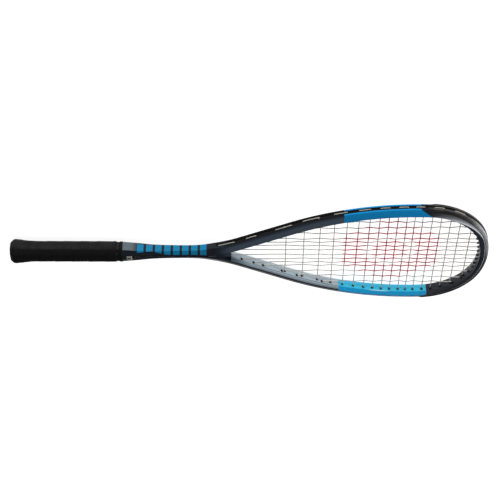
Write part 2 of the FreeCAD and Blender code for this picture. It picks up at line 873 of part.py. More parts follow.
hoop_line = draw_centreline()
node_parts = [build_frame(hoop_line)]
node_parts += build_grommets(hoop_line)
node_parts.append(build_bumper(hoop_line))
node_parts.append(build_string("main_string", main_route(), dim("string_rise")))
node_parts.append(build_string("cross_string", cross_route(), -dim("string_rise")))
node_parts += build_handle()
node_parts += build_bands()
node_parts.append(build_label())
doc.recompute()
check(node_parts)
write(node_parts)
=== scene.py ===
import math

import bmesh
import bpy
from mathutils import Matrix, Vector


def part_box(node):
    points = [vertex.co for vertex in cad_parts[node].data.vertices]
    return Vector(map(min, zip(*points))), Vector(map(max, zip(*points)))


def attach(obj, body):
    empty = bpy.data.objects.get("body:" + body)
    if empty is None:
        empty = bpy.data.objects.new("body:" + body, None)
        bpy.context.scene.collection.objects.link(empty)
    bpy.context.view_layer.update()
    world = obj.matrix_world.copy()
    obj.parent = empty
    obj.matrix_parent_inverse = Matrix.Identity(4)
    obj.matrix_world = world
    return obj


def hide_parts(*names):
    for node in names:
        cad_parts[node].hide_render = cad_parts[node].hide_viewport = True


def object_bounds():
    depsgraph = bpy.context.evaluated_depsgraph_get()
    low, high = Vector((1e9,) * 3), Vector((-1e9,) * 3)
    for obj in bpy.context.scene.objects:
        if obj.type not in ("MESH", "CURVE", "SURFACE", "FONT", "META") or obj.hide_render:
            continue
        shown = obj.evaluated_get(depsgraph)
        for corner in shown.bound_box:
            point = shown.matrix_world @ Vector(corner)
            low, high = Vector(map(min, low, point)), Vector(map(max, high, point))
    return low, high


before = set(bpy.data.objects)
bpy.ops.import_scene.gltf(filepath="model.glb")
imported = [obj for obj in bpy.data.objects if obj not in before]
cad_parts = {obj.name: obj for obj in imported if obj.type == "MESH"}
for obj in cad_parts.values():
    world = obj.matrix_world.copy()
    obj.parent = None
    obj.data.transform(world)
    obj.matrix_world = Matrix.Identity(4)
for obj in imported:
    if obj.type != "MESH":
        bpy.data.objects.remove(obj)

# Squash racket. Frame of the part: origin at the centre of the butt end, +X to the tip, +Y across
# the strings, +Z square to them. Outlines are worked out in millimetres, and Piece turns them
# into metres.

cad_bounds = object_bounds()
MM = 0.001
UP = Vector((0, 0, 1))


def node_box(node):
    """Lowest and highest corner of a CAD node, in millimetres."""
    low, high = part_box(node)
    return low / MM, high / MM


# -------- driving sizes

TUBE_HALF = 6.0
TIP_CENTRE = node_box("frame")[1].x - TUBE_HALF
TIP_ARCS = ((136.9, 13.1), (86.5, 74.5), (397.7, 28.4))    # radius and sweep in degrees
THROAT_LEG = 82.5
NECK_RADIUS = 176.0
NECK_FRONT = 296.0
SHAFT_JOINT = 245.0
WEB_BACK = 270.0
WEB_FRONT = 312.0

CHANNEL_HALF = 2.75
CHANNEL_FLOOR = 3.0
THROAT_STRIP_START = node_box("throat_grommets_left")[0].x
CHANNEL_START = THROAT_STRIP_START - 0.5

GRIP_END = node_box("grip_wrap")[1].x
TAPE_BOX = node_box("finishing_tape")
COLLAR_BOX = node_box("grip_collar")
GUARD_START = node_box("bumper_guard")[0].x
SIDE_STRIP_START = node_box("side_grommets_left")[0].x
SIDE_STRIP_END = node_box("side_grommets_left")[1].x
THROAT_STRIP_END = node_box("throat_grommets_left")[1].x

# -------- hoop line


def hoop_segments():
    """The +Y half of the tube's centreline from the tip: (start, heading, radius or 0, length)."""
    segments = []
    place, heading = Vector((TIP_CENTRE, 0)), math.pi / 2

    def add(radius, length):
        nonlocal place, heading
        segments.append((place, heading, radius, length))
        place, heading = walk(segments[-1], length)

    for radius, sweep in TIP_ARCS:
        add(radius, radius * math.radians(sweep))
    add(0, THROAT_LEG)
    add(-NECK_RADIUS, NECK_RADIUS * (heading - math.pi))
    add(0, place.x - COLLAR_BOX[0].x)
    return segments


def walk(segment, distance):
    """Point and heading at a distance along one segment."""
    start, heading, radius, _ = segment
    if radius == 0:
        return start + Vector((math.cos(heading), math.sin(heading))) * distance, heading
    turned = heading + distance / radius
    step = Vector((math.sin(turned) - math.sin(heading), math.cos(heading) - math.cos(turned)))
    return start + step * radius, turned


SEGMENTS = hoop_segments()
LINE_LENGTH = sum(segment[3] for segment in SEGMENTS)


def station(along):
    """Centreline point and outward direction at a distance from the tip, negative on the -Y side."""
    side = math.copysign(1, along)
    rest = abs(along)
    for segment in SEGMENTS:
        if rest <= segment[3] or segment is SEGMENTS[-1]:
            break
        rest -= segment[3]
    point, heading = walk(segment, rest)
    return (Vector((point.x, side * point.y)),
            Vector((math.sin(heading), -side * math.cos(heading))))


def on_tube(along, outward, up):
    """Point at an outward offset from the centreline and a height."""
    point, away = station(along)
    spot = point + away * outward
    return Vector((spot.x, spot.y, up))


def along_at(x, outward=0.0):
    """Distance from the tip at which the line with this outward offset reaches an X."""
    low, high = 0.0, LINE_LENGTH
    for _ in range(40):
        middle = (low + high) / 2
        if on_tube(middle, outward, 0).x > x:
            low = middle
        else:
            high = middle
    return low


def steps_between(low, high, spacing):
    """Evenly spaced distances from low to high, both included."""
    count = max(1, math.ceil(abs(high - low) / spacing))
    return [low + (high - low) * k / count for k in range(count + 1)]


def ease(value):
    """0 below 0, 1 above 1, and a smooth step between."""
    value = min(1.0, max(0.0, value))
    return value * value * (3 - 2 * value)


def blend(first, second, share):
    return first + (second - first) * share


# -------- outlines and pieces


def rounded(corners, steps=3):
    """Closed outline through corners (across, up, cut), each cut back and rounded by that much."""
    points = []
    for index, (across, up, cut) in enumerate(corners):
        corner = Vector((across, up))
        before = Vector(corners[index - 1][:2]) - corner
        after = Vector(corners[(index + 1) % len(corners)][:2]) - corner
        start = corner + before * min(0.45, cut / max(before.length, 1e-6))
        end = corner + after * min(0.45, cut / max(after.length, 1e-6))
        for k in range(steps + 1):
            t = k / steps
            points.append(start * (1 - t) ** 2 + corner * 2 * t * (1 - t) + end * t ** 2)
    return points


def mirrored_below(corners):
    """Upper corners followed by the same corners below, as one closed outline."""
    return list(corners) + [(across, -up, cut) for across, up, cut in reversed(corners)]


class Piece:
    """A mesh made of shells, worked out in millimetres and built in metres."""

    def __init__(self):
        self.points = []
        self.faces = []
        self.marks = {}

    def mark(self, name, values):
        """Numbers kept on the points added last, for the materials."""
        row = self.marks.setdefault(name, [])
        row += [0.0] * (len(self.points) - len(values) - len(row)) + list(values)

    def skin(self, rings, closed=False, capped=True, flipped=False):
        """A surface through rings of equally many points; each ring is a closed loop."""
        first, count, size = len(self.points), len(rings), len(rings[0])
        for ring in rings:
            self.points += ring
        for row in range(count if closed else count - 1):
            here, there = first + row * size, first + (row + 1) % count * size
            for k in range(size):
                j = (k + 1) % size
                face = (here + k, here + j, there + j, there + k)
                self.faces.append(face[::-1] if flipped else face)
        if capped and not closed:
            start = list(range(first, first + size))
            end = list(range(first + (count - 1) * size, first + count * size))
            self.faces.append(start if flipped else start[::-1])
            self.faces.append(end[::-1] if flipped else end)

    def build(self, name, material, sharp=38, tidy=None):
        """The finished object; tidy may edit its bmesh first."""
        mesh = bpy.data.meshes.new(name)
        mesh.from_pydata([point * MM for point in self.points], [], self.faces)
        for mark, values in self.marks.items():
            values += [0.0] * (len(self.points) - len(values))
            mesh.attributes.new(mark, "FLOAT", "POINT").data.foreach_set("value", values)
        work = bmesh.new()
        work.from_mesh(mesh)
        if tidy:
            tidy(work)
        bmesh.ops.recalc_face_normals(work, faces=work.faces)
        work.to_mesh(mesh)
        work.free()
        mesh.shade_smooth()
        mesh.set_sharp_from_angle(angle=math.radians(sharp))
        mesh.materials.append(material)
        item = bpy.data.objects.new(name, mesh)
        bpy.context.scene.collection.objects.link(item)
        return item


def finish_piece(item, slot, *nodes):
    """Ride on the one body and stand for CAD nodes, which are hidden; the slot is not used."""
    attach(item, "root")
    if nodes:
        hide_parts(*nodes)


def swept(piece, low, high, outline, spacing=3.0, side=1):
    """Skin an outline along the hoop line; outline is a list or a function of the distance."""
    rings, outward = [], []
    for along in steps_between(low, high, spacing):
        points = outline(along) if callable(outline) else outline
        rings.append([on_tube(side * along, point.x, point.y) for point in points])
        outward += [point.x for point in points]
    piece.skin(rings)
    piece.mark("outward", outward)


def circle(centre, across, up, radius, sides):
    """Points round a centre, in the plane of two unit directions."""
    turns = [math.tau * k / sides for k in range(sides)]
    return [centre + (across * math.cos(turn) + up * math.sin(turn)) * radius for turn in turns]


# -------- fields and finishes


def srgb(red, green, blue):
    """Linear colour from the usual 0 to 255 steps."""
    def linear(step):
        share = step / 255
        return share / 12.92 if share <= 0.04045 else ((share + 0.055) / 1.055) ** 2.4
    return (linear(red), linear(green), linear(blue), 1.0)


class Field:
    """A number that varies over a surface, made of maths nodes."""

    def __init__(self, tree, socket):
        self.tree = tree
        self.socket = socket

    def maths(self, operation, *others):
        node = self.tree.nodes.new("ShaderNodeMath")
        node.operation = operation
        self.tree.links.new(self.socket, node.inputs[0])
        for index, other in enumerate(others, start=1):
            if isinstance(other, Field):
                self.tree.links.new(other.socket, node.inputs[index])
            else:
                node.inputs[index].default_value = other
        return Field(self.tree, node.outputs[0])

    def __add__(self, other):
        return self.maths("ADD", other)

    def __sub__(self, other):
        return self.maths("SUBTRACT", other)

    def __mul__(self, other):
        return self.maths("MULTIPLY", other)

    def size(self):
        return self.maths("ABSOLUTE")

    def most(self, other):
        return self.maths("MAXIMUM", other)

    def repeats(self, pitch):
        """Distance into the current repeat, from 0 to pitch."""
        return self.maths("FLOORED_MODULO", pitch)

    def scaled(self, low, high, start=0.0, end=1.0, smooth=True):
        """Start at low and below, end at high and above."""
        node = self.tree.nodes.new("ShaderNodeMapRange")
        node.interpolation_type = "SMOOTHSTEP" if smooth else "LINEAR"
        self.tree.links.new(self.socket, node.inputs["Value"])
        for name, value in (("From Min", low), ("From Max", high),
                            ("To Min", start), ("To Max", end)):
            node.inputs[name].default_value = value
        return Field(self.tree, node.outputs["Result"])

    def above(self, edge, soft=0.15):
        return self.scaled(edge - soft, edge + soft)

    def below(self, edge, soft=0.15):
        return self.scaled(edge - soft, edge + soft, 1.0, 0.0)

    def within(self, low, high, soft=0.15):
        return self.above(low, soft) * self.below(high, soft)


class Finish:
    """A material with one Principled shader and the fields that drive it."""

    def __init__(self, name, colour, roughness, **settings):
        self.material = bpy.data.materials.new(name)
        self.material.use_nodes = True
        self.tree = self.material.node_tree
        self.shader = self.tree.nodes["Principled BSDF"]
        self.shader.inputs["Base Color"].default_value = colour
        self.shader.inputs["Roughness"].default_value = roughness
        for socket, value in settings.items():
            self.shader.inputs[socket.replace("_", " ")].default_value = value
        self.colour = colour
        self.coordinates = self.tree.nodes.new("ShaderNodeTexCoord").outputs["Object"]
        split = self.tree.nodes.new("ShaderNodeSeparateXYZ")
        self.tree.links.new(self.coordinates, split.inputs[0])
        self.x, self.y, self.z = (Field(self.tree, split.outputs[k]) * (1 / MM) for k in range(3))
        self.heights = []

    def mark(self, name):
        """A number kept on the mesh."""
        node = self.tree.nodes.new("ShaderNodeAttribute")
        node.attribute_name = name
        return Field(self.tree, node.outputs["Fac"])

    def noise(self, grain, detail=2.0, stretch=(1, 1, 1)):
        """Cloudy noise from 0 to 1 with grains of a size in millimetres."""
        return self.texture("ShaderNodeTexNoise", grain, stretch, "Fac", Detail=detail)

    def cells(self, grain):
        """Distance from the middle of the nearest cell, 0 to about 1."""
        return self.texture("ShaderNodeTexVoronoi", grain, (1, 1, 1), "Distance")

    def texture(self, kind, grain, stretch, output, **settings):
        mapping = self.tree.nodes.new("ShaderNodeMapping")
        mapping.inputs["Scale"].default_value = [1 / part for part in stretch]
        self.tree.links.new(self.coordinates, mapping.inputs["Vector"])
        node = self.tree.nodes.new(kind)
        node.inputs["Scale"].default_value = 1 / (grain * MM)
        for socket, value in settings.items():
            node.inputs[socket].default_value = value
        self.tree.links.new(mapping.outputs[0], node.inputs["Vector"])
        return Field(self.tree, node.outputs[output])

    def tint(self, mask, colour):
        """Lay a colour over what is there, where the mask is 1."""
        node = self.tree.nodes.new("ShaderNodeMix")
        node.data_type = "RGBA"
        self.tree.links.new(mask.socket, node.inputs["Factor"])
        for socket, value in ((node.inputs[6], self.colour), (node.inputs[7], colour)):
            if isinstance(value, tuple):
                socket.default_value = value
            else:
                self.tree.links.new(value, socket)
        self.colour = node.outputs[2]
        self.tree.links.new(self.colour, self.shader.inputs["Base Color"])

    def rough(self, field):
        self.tree.links.new(field.socket, self.shader.inputs["Roughness"])

    def gloss(self, field):
        self.tree.links.new(field.socket, self.shader.inputs["Specular IOR Level"])

    def bump(self, field, depth):
        """Raise the surface where the field is high, by a depth in millimetres."""
        node = self.tree.nodes.new("ShaderNodeBump")
        node.inputs["Strength"].default_value = 1.0
        node.inputs["Distance"].default_value = depth * MM
        self.tree.links.new(field.socket, node.inputs["Height"])
        if self.heights:
            self.tree.links.new(self.heights[-1], node.inputs["Normal"])
        self.heights.append(node.outputs[0])
        self.tree.links.new(node.outputs[0], self.shader.inputs["Normal"])


# -------- materials

SLATE = srgb(80, 92, 106)
NAVY = srgb(24, 29, 38)
PALE_GREY = srgb(168, 182, 190)
# Painted shade along the inner wall's crease.
CREASE_SHADE_GREY = srgb(96, 112, 122)
PATCH_REFLECTION_GREY = srgb(96, 108, 114)
ARROW_HIGHLIGHT_GREY = srgb(120, 132, 138)
FLAKE_GREY = srgb(150, 160, 170)
SHEEN_HIGHLIGHT_GREY = srgb(196, 199, 206)
SILVER_HIGHLIGHT = srgb(224, 227, 232)
# Painted highlight on the crease in the blue zone.
GLINT = srgb(220, 250, 255)
BLUE = srgb(24, 143, 208)
# Painted light and shade: a lighter cyan for the blue inner wall, and a darker blue for it above the
# crease.
LIT_CYAN = srgb(54, 192, 228)
SHADED_BLUE = srgb(0, 150, 206)
BAR_BLUE = srgb(0, 126, 172)
CHARCOAL = srgb(38, 41, 49)
EDGE_BLACK = srgb(26, 27, 30)
RED = srgb(196, 0, 36)

# Zones along the racket.
BLUE_START = 475.0
BLUE_END = 606.0
BLUE_SLANT = 1.6              # how far the blue's end leans back for each millimetre outward
BLUE_STEP = 9.0               # how far it stands back outside the inner wall
SLATE_START = 306.0
GLOSS_END = 300.0
GLINT_SPAN = (522.0, 548.0)

# Edges of the tube's faces, outward from its centreline.
WALL_EDGE = -4.6
CREST_TOP = -4.0
OUTER_EDGE = 5.6

# Heights over the racket's middle plane.
CREASE = 3.7
CREST_HEIGHT = 9.5

# Blue bars on the shaft, with a painted reflection by the collar and a painted highlight arrow at
# the bars' end.
BAR_START = 182.0
BAR_END = 284.0
BAR_PITCH = 12.9
BAR_GAP = 3.6
BAR_NARROWING = (198.0, 232.0)
BAR_FOOT = 5.0
PATCH_FADE = (172.0, 186.0)
ARROW_END = 296.0
ARROW_SPREAD = 0.12

# Painted highlight round the tip: a silver line with a painted sheen outside it, by the distance
# along the hoop from the tip.
HIGHLIGHT_SPAN = (-80.0, 140.0)
HIGHLIGHT_CROSSING = (40.0, 115.0)
SHEEN_SPAN = (15.0, 125.0)


def inner_wall(finish):
    """1 on the tube's wall that faces the strings."""
    return finish.mark("outward").below(WALL_EDGE, 0.6)


def behind_blue(finish):
    """1 from the blue zone back to the butt."""
    return finish.x.below(BLUE_START, 0.4)


def on_hoop(finish):
    """1 on the hoop and 0 on the shaft."""
    return finish.x.above(SLATE_START, 8.0)


def paint_zones(finish):
    """Blue beside the widest part, slate behind it, navy on the shaft and the slopes; the blue inner
    wall is painted a lighter cyan as painted light, with painted shade above the crease.
    """
    x, z, outward = finish.x, finish.z, finish.mark("outward")
    wall, behind = inner_wall(finish), behind_blue(finish)
    outside_wall = outward.above(WALL_EDGE + 0.4, 0.8)
    stepped = x + outward.most(CREST_TOP) * BLUE_SLANT + outside_wall * BLUE_STEP
    blue = stepped.below(BLUE_END + CREST_TOP * BLUE_SLANT, 0.5) * x.above(BLUE_START)
    finish.tint(blue, BLUE)
    # Painted light: the blue inner wall is painted a lighter cyan than the faces; painted shade
    # darkens it above the crease.
    finish.tint(blue * wall, LIT_CYAN)
    finish.tint(blue * wall * z.above(CREASE), SHADED_BLUE)
    finish.tint(behind, SLATE)
    finish.tint((x + outward * -0.2).below(SLATE_START, 14.0), NAVY)
    slope = z.above(0.0) * outward.scaled(1.0, 5.0, 0.0, 0.6)
    finish.tint(slope * on_hoop(finish) * behind, NAVY)
    finish.tint(outward.above(OUTER_EDGE) * on_hoop(finish) * behind, EDGE_BLACK)


def paint_wall(finish):
    """Pale grey inner wall behind the blue with painted shade above its crease, a dark line of
    painted shade along the crease, a painted highlight on the crease in the blue, and painted shade
    on the upper slope and crest of the -Y tube.
    """
    x, y, z, outward = finish.x, finish.y, finish.z, finish.mark("outward")
    wall, behind = inner_wall(finish), behind_blue(finish)
    pale = (x - z.most(-2.0) * 3.4).above(WEB_FRONT + 4.0, 16.0) * wall * behind
    finish.tint(pale, PALE_GREY)
    # Painted shade: the pale wall darkens towards slate above the crease, towards the crest.
    finish.tint(pale * z.above(CREASE) * z.scaled(CREASE, CREST_HEIGHT, 0.15, 0.85), SLATE)
    # Painted shade: navy on the upper slope and crest of the -Y tube only.
    upper_slope = outward.above(WALL_EDGE + 0.2, 0.4) * z.above(0.0)
    lee_shade = upper_slope.most(z.above(CREST_HEIGHT - 0.5, 0.5)) * y.below(0.0)
    finish.tint(lee_shade * on_hoop(finish) * behind.most(x.above(BLUE_END)), NAVY)
    # Painted shade: a darker grey line along the crease of the wall.
    crease = (z - CREASE).size().below(0.45, 0.25) * wall
    finish.tint(crease * behind * on_hoop(finish), CREASE_SHADE_GREY)
    # Painted highlight: a light cyan glint along the crease in the blue zone.
    finish.tint(crease * x.within(*GLINT_SPAN, 6.0), GLINT)


def paint_tip_highlight(finish):
    """Painted highlight: a silver line that crosses from the outer edge to the inner wall, with a
    painted sheen outside it, on the upper face only.
    """
    outward, along, upper = finish.mark("outward"), finish.mark("along"), finish.z.above(0.0)
    place = along.scaled(*HIGHLIGHT_CROSSING, 2.4, WALL_EDGE, smooth=False)
    beyond = outward - place
    # Painted sheen: lighter grey outside the highlight line, on the upper face.
    sheen = beyond.scaled(0.5, 4.5, 0.85, 0.25) * beyond.above(0.0)
    finish.tint(sheen * upper * along.within(*SHEEN_SPAN, 25.0), SHEEN_HIGHLIGHT_GREY)
    # Painted highlight: the silver line itself, on the upper face only.
    line = beyond.size().below(0.6, 0.3) * along.within(*HIGHLIGHT_SPAN, 15.0)
    finish.tint(line * upper, SILVER_HIGHLIGHT)


def paint_shaft(finish):
    """A painted reflection on the +Y side by the collar, plain blue bars on both sides and a thin
    arrow-shaped painted highlight at their end.
    """
    x, y, z = finish.x, finish.y, finish.z
    # Painted reflection: a lighter grey patch on the +Y side only, fading away from the collar.
    patch = x.scaled(*PATCH_FADE, 1.0, 0.0) * y.above(9.8)
    finish.tint(patch * z.size().below(7.0), PATCH_REFLECTION_GREY)
    bars = (x - BAR_START).repeats(BAR_PITCH).below(BAR_PITCH - BAR_GAP, 0.2)
    bars = bars * x.within(BAR_START, BAR_END, 0.2)
    depth = x.scaled(*BAR_NARROWING, 8.6, 3.6)
    near = (y - depth).above(0.0, 0.3) * z.above(-BAR_FOOT)
    far = (y + depth).below(0.0, 0.3) * z.below(BAR_FOOT)
    finish.tint(bars * near.most(far), BAR_BLUE)
    # Painted highlight: a thin light arrow on the top, where the two tubes part.
    arrow = (y.size() - (x - BAR_END) * ARROW_SPREAD).size().below(0.35)
    finish.tint(arrow * x.within(BAR_END, ARROW_END) * z.size().above(6.0), ARROW_HIGHLIGHT_GREY)


def lacquer():
    """Painted and lacquered carbon with fine flakes.

    It is glossy on the shaft and the inner wall, and matt on the slopes outside them.
    """
    finish = Finish("lacquer", CHARCOAL, 0.32)
    paint_zones(finish)
    paint_wall(finish)
    paint_tip_highlight(finish)
    paint_shaft(finish)
    finish.tint(finish.noise(0.35, 1.0).scaled(0.62, 0.8, 0.0, 0.08), FLAKE_GREY)
    glossy = inner_wall(finish).most(finish.x.below(GLOSS_END, 6.0))
    finish.gloss(glossy.scaled(0.0, 1.0, 0.02, 0.16))
    finish.rough(finish.noise(14.0, 3.0).scaled(0.3, 0.7, 0.26, 0.38))
    finish.bump(finish.noise(1.6, 1.0), 0.02)
    return finish.material


def grommet_nylon():
    """Moulded nylon with a fine spark-eroded grain and paler scuffs."""
    finish = Finish("grommet_nylon", srgb(12, 12, 13), 0.5, Specular_IOR_Level=0.15)
    scuffs = finish.noise(5.0, 6.0, (3, 1, 1)).scaled(0.62, 0.78, 0.0, 0.3)
    finish.tint(scuffs, srgb(48, 48, 52))
    finish.rough(finish.noise(2.0, 3.0).scaled(0.3, 0.7, 0.42, 0.62))
    finish.bump(finish.noise(0.5, 2.0), 0.03)
    return finish.material


RAIL_OUTWARD = 7.2
RIB_OUTWARD = 5.6
NOSE_START = 662.0


def guard_nylon():
    """The bumper's nylon, with a painted highlight on its rails and ribs, broken up by noise, and a
    painted highlight on the left of its nose.
    """
    finish = Finish("bumper_nylon", srgb(14, 13, 13), 0.4, Specular_IOR_Level=0.4)
    outward = finish.mark("outward")
    # Painted highlight on the rails and ribs, broken up by noise.
    rib_highlight_noise = finish.noise(6.0, 5.0, (3, 1, 1)).scaled(0.35, 0.6, 0.3, 0.9)
    ribs = outward.above(RAIL_OUTWARD, 0.1).most((outward - RIB_OUTWARD).size().below(0.4, 0.2))
    finish.tint(ribs * rib_highlight_noise, srgb(66, 63, 61))
    # Painted highlight: a paler grey on the upper left of the guard's nose.
    nose = finish.x.above(NOSE_START, 12.0) * finish.y.above(2.0, 14.0) * finish.z.above(0.0, 3.0)
    finish.tint(nose * 0.7, srgb(150, 151, 156))
    finish.rough(finish.noise(2.0, 3.0).scaled(0.3, 0.7, 0.32, 0.5))
    finish.bump(finish.noise(0.7, 2.0), 0.03)
    return finish.material


STENCIL_X = 545.0
STENCIL_Y = 6.0
STENCIL_RING = (35.0, 68.0)
STENCIL_HEART = 25.0


def string_gut():
    """Pale braided string with a red stencil of nested lozenges on the bed; painted lighter on the
    bed and darker in the channel, as painted light and shade.
    """
    finish = Finish("string", srgb(192, 188, 180), 0.4, Specular_IOR_Level=0.08)
    # Painted light and shade: the same string is lighter on the bed than in the channel.
    bed = finish.mark("bed").above(0.5, 0.1)
    finish.tint(bed, srgb(224, 221, 214))
    finish.tint(finish.noise(0.8, 3.0).scaled(0.45, 0.75, 0.0, 0.3), srgb(90, 86, 80))
    length = (finish.x - STENCIL_X).size()
    width = (finish.y - STENCIL_Y).size()
    lozenge = length.most(length * 0.55 + width * 0.9)
    stencil = lozenge.within(*STENCIL_RING, 1.0).most(lozenge.below(STENCIL_HEART, 1.0))
    ink = finish.noise(3.0, 4.0).scaled(0.25, 0.5, 0.85, 1.0)
    finish.tint(stencil * ink * bed, RED)
    finish.rough(finish.noise(1.0, 2.0).scaled(0.3, 0.7, 0.28, 0.45))
    twist = (finish.x + finish.y).repeats(0.9)
    finish.bump(twist.scaled(0.0, 0.9), 0.03)
    return finish.material


def grip_leather():
    """Black polyurethane wrap with a fine grain, polished in places by the hand."""
    finish = Finish("grip", srgb(11, 10, 10), 0.6, Specular_IOR_Level=0.2)
    finish.tint(finish.noise(22.0, 4.0).scaled(0.45, 0.75, 0.0, 0.6), srgb(19, 18, 18))
    finish.rough(finish.noise(12.0, 4.0).scaled(0.3, 0.7, 0.5, 0.72))
    finish.bump(finish.cells(0.9), 0.05)
    finish.bump(finish.noise(0.4, 2.0), 0.04)
    return finish.material


def rubber(name, colour):
    """Black rubber, greyed in places."""
    finish = Finish(name, colour, 0.62, Specular_IOR_Level=0.12)
    finish.tint(finish.noise(6.0, 5.0).scaled(0.5, 0.8, 0.0, 0.45), srgb(30, 29, 29))
    finish.rough(finish.noise(3.0, 3.0).scaled(0.3, 0.7, 0.5, 0.7))
    finish.bump(finish.noise(0.5, 2.0), 0.04)
    return finish.material


def tape():
    """Black vinyl tape with a row of small pale flecks."""
    finish = Finish("tape", srgb(13, 13, 14), 0.4, Specular_IOR_Level=0.2)
    flecks = finish.noise(0.8, 1.0, (1, 2, 2)).above(0.72, 0.02)
    middle = finish.x.within(TAPE_BOX[0].x + 0.8, TAPE_BOX[1].x - 0.6, 0.2)
    finish.tint(flecks * middle, srgb(130, 130, 132))
    finish.rough(finish.noise(4.0, 3.0).scaled(0.3, 0.7, 0.34, 0.5))
    finish.bump(finish.noise(0.7, 3.0), 0.03)
    return finish.material


def metal(name, colour, roughness):
    """Drawn metal with dull spots."""
    finish = Finish(name, colour, roughness, Metallic=1.0)
    finish.tint(finish.noise(1.5, 4.0).scaled(0.5, 0.8, 0.0, 0.4), srgb(120, 118, 114))
    finish.rough(finish.noise(0.8, 4.0, (1, 4, 4)).scaled(0.3, 0.7, roughness - 0.1,
                                                          roughness + 0.15))
    finish.bump(finish.noise(0.3, 2.0), 0.01)
    return finish.material


def foam():
    """Yellowish foam with open cells."""
    finish = Finish("foam", srgb(196, 182, 150), 0.9)
    finish.tint(finish.cells(1.4).scaled(0.2, 0.7), srgb(160, 145, 115))
    finish.bump(finish.cells(0.8), 0.15)
    finish.rough(finish.noise(4.0).scaled(0.2, 0.8, 0.8, 0.98))
    return finish.material


def foil_label():
    """Silvered paper with one plain dark bar."""
    finish = Finish("label", srgb(206, 206, 202), 0.35, Metallic=0.3)
    low, high = node_box("spec_label")
    middle = (low + high) / 2
    bar = (finish.x - middle.x).size().below(2.6) * (finish.y - middle.y).size().below(1.2)
    finish.tint(bar, srgb(40, 40, 42))
    finish.rough(finish.noise(1.0).scaled(0.3, 0.7, 0.28, 0.45))
    finish.bump(finish.noise(0.6), 0.01)
    return finish.material


def floor_paint():
    """Pale floor that glows a little, so that it shows no shadow."""
    finish = Finish("floor", (0.86, 0.86, 0.86, 1.0), 0.85, Specular_IOR_Level=0.1)
    finish.tint(finish.noise(400.0, 3.0).scaled(0.3, 0.7, 0.0, 0.04), (0.8, 0.8, 0.8, 1.0))
    finish.shader.inputs["Emission Color"].default_value = (1.0, 1.0, 1.0, 1.0)
    finish.shader.inputs["Emission Strength"].default_value = 0.85
    return finish.material


# -------- frame

# Corners of the upper half of a section from the inner wall outward: (across, up, cut).
HOOP_CORNERS = ((-TUBE_HALF, 4.0, 1.2), (-4.9, 9.8, 0.5), (-3.9, 10.1, 1.0),
                (TUBE_HALF, 5.2, 0.8), (TUBE_HALF, CHANNEL_HALF, 0.4),
                (CHANNEL_FLOOR, CHANNEL_HALF, 0.4))

# Shaft octagons by place: side half-width, side flat, top flat and half-height.
SHAFT_KNOTS = ((161.0, (13.2, 6.9, 6.7, 12.7)), (185.0, (10.7, 6.7, 5.3, 11.4)),
               (205.0, (8.9, 5.8, 4.3, 9.8)), (245.0, (8.9, 5.1, 2.6, 9.2)),
               (290.0, (8.9, 5.1, 1.6, 9.2)))


def shaft_sizes(x):
    """The shaft's four sizes at a place, on a smooth line through the knots."""
    places = [knot[0] for knot in SHAFT_KNOTS]
    last = len(places) - 1
    index = max(k for k in range(last) if k == 0 or places[k] <= x)
    run = places[index + 1] - places[index]
    t = min(1.0, max(0.0, (x - places[index]) / run))
    u = 1 - t

    def slope(k, size):
        low, high = max(0, k - 1), min(last, k + 1)
        rise = SHAFT_KNOTS[high][1][size] - SHAFT_KNOTS[low][1][size]
        return rise / (places[high] - places[low])

    sizes = []
    for size in range(4):
        start, end = SHAFT_KNOTS[index][1][size], SHAFT_KNOTS[index + 1][1][size]
        sizes.append(start * (1 + 2 * t) * u * u + end * (3 - 2 * t) * t * t
                     + run * t * u * (slope(index, size) * u - slope(index + 1, size) * t))
    return sizes


NECK_START = along_at(NECK_FRONT)
NECK_END = along_at(SHAFT_JOINT)
HOOP_STEP = 3.0
SHAFT_STEP = 2.0


def frame_outline(along):
    """Section of the +Y half: the tube round the hoop, half the octagon along the shaft."""
    centre, _ = station(along)
    shaft = 1 - ease((NECK_END - along) / (NECK_END - NECK_START))
    open_channel = ease((on_tube(along, TUBE_HALF, 0).x - CHANNEL_START) / 3.0)
    side, side_flat, top_flat, top = shaft_sizes(centre.x)
    middle = -centre.y
    octagon = ((middle, 4.0, 1.2), (middle, top, 0.0), (middle + top_flat, top, 1.4),
               (middle + side, side_flat, 1.4), (middle + side, CHANNEL_HALF, 0.4),
               (middle + side, CHANNEL_HALF * 0.9, 0.4))
    corners = [tuple(blend(a, b, shaft) for a, b in zip(tube, bar))
               for tube, bar in zip(HOOP_CORNERS, octagon)]
    channel_floor, up, cut = corners[-1]
    outer_face = blend(TUBE_HALF, middle + side, shaft)
    corners[-1] = (blend(outer_face, channel_floor, open_channel), up, cut)
    return rounded(mirrored_below(corners))


def build_frame(material):
    """Hoop, neck and shaft in one shell, made as two halves that meet at y = 0."""
    piece = Piece()
    stops = (steps_between(0, NECK_START, HOOP_STEP)
             + steps_between(NECK_START, LINE_LENGTH, SHAFT_STEP)[1:])
    for side in (1, -1):
        rings, outward, distance = [], [], []
        for along in stops:
            outline = frame_outline(along)
            ring = [on_tube(along, point.x, point.y) for point in outline]
            rings.append([Vector((p.x, side * max(0.0, p.y), p.z)) for p in ring])
            outward += [point.x for point in outline]
            distance += [side * along] * len(outline)
        piece.skin(rings, capped=False, flipped=side < 0)
        piece.mark("outward", outward)
        piece.mark("along", distance)

    def close_middle(work):
        inside = [face for face in work.faces if all(abs(v.co.y) < 1e-7 for v in face.verts)]
        bmesh.ops.delete(work, geom=inside, context="FACES")
        bmesh.ops.remove_doubles(work, verts=work.verts, dist=1e-6)
        bmesh.ops.dissolve_degenerate(work, edges=work.edges, dist=1e-7)
        bmesh.ops.holes_fill(work, edges=[e for e in work.edges if e.is_boundary], sides=0)

    finish_piece(piece.build("frame_shell", material, 30, close_middle), "frame_lacquer", "frame")


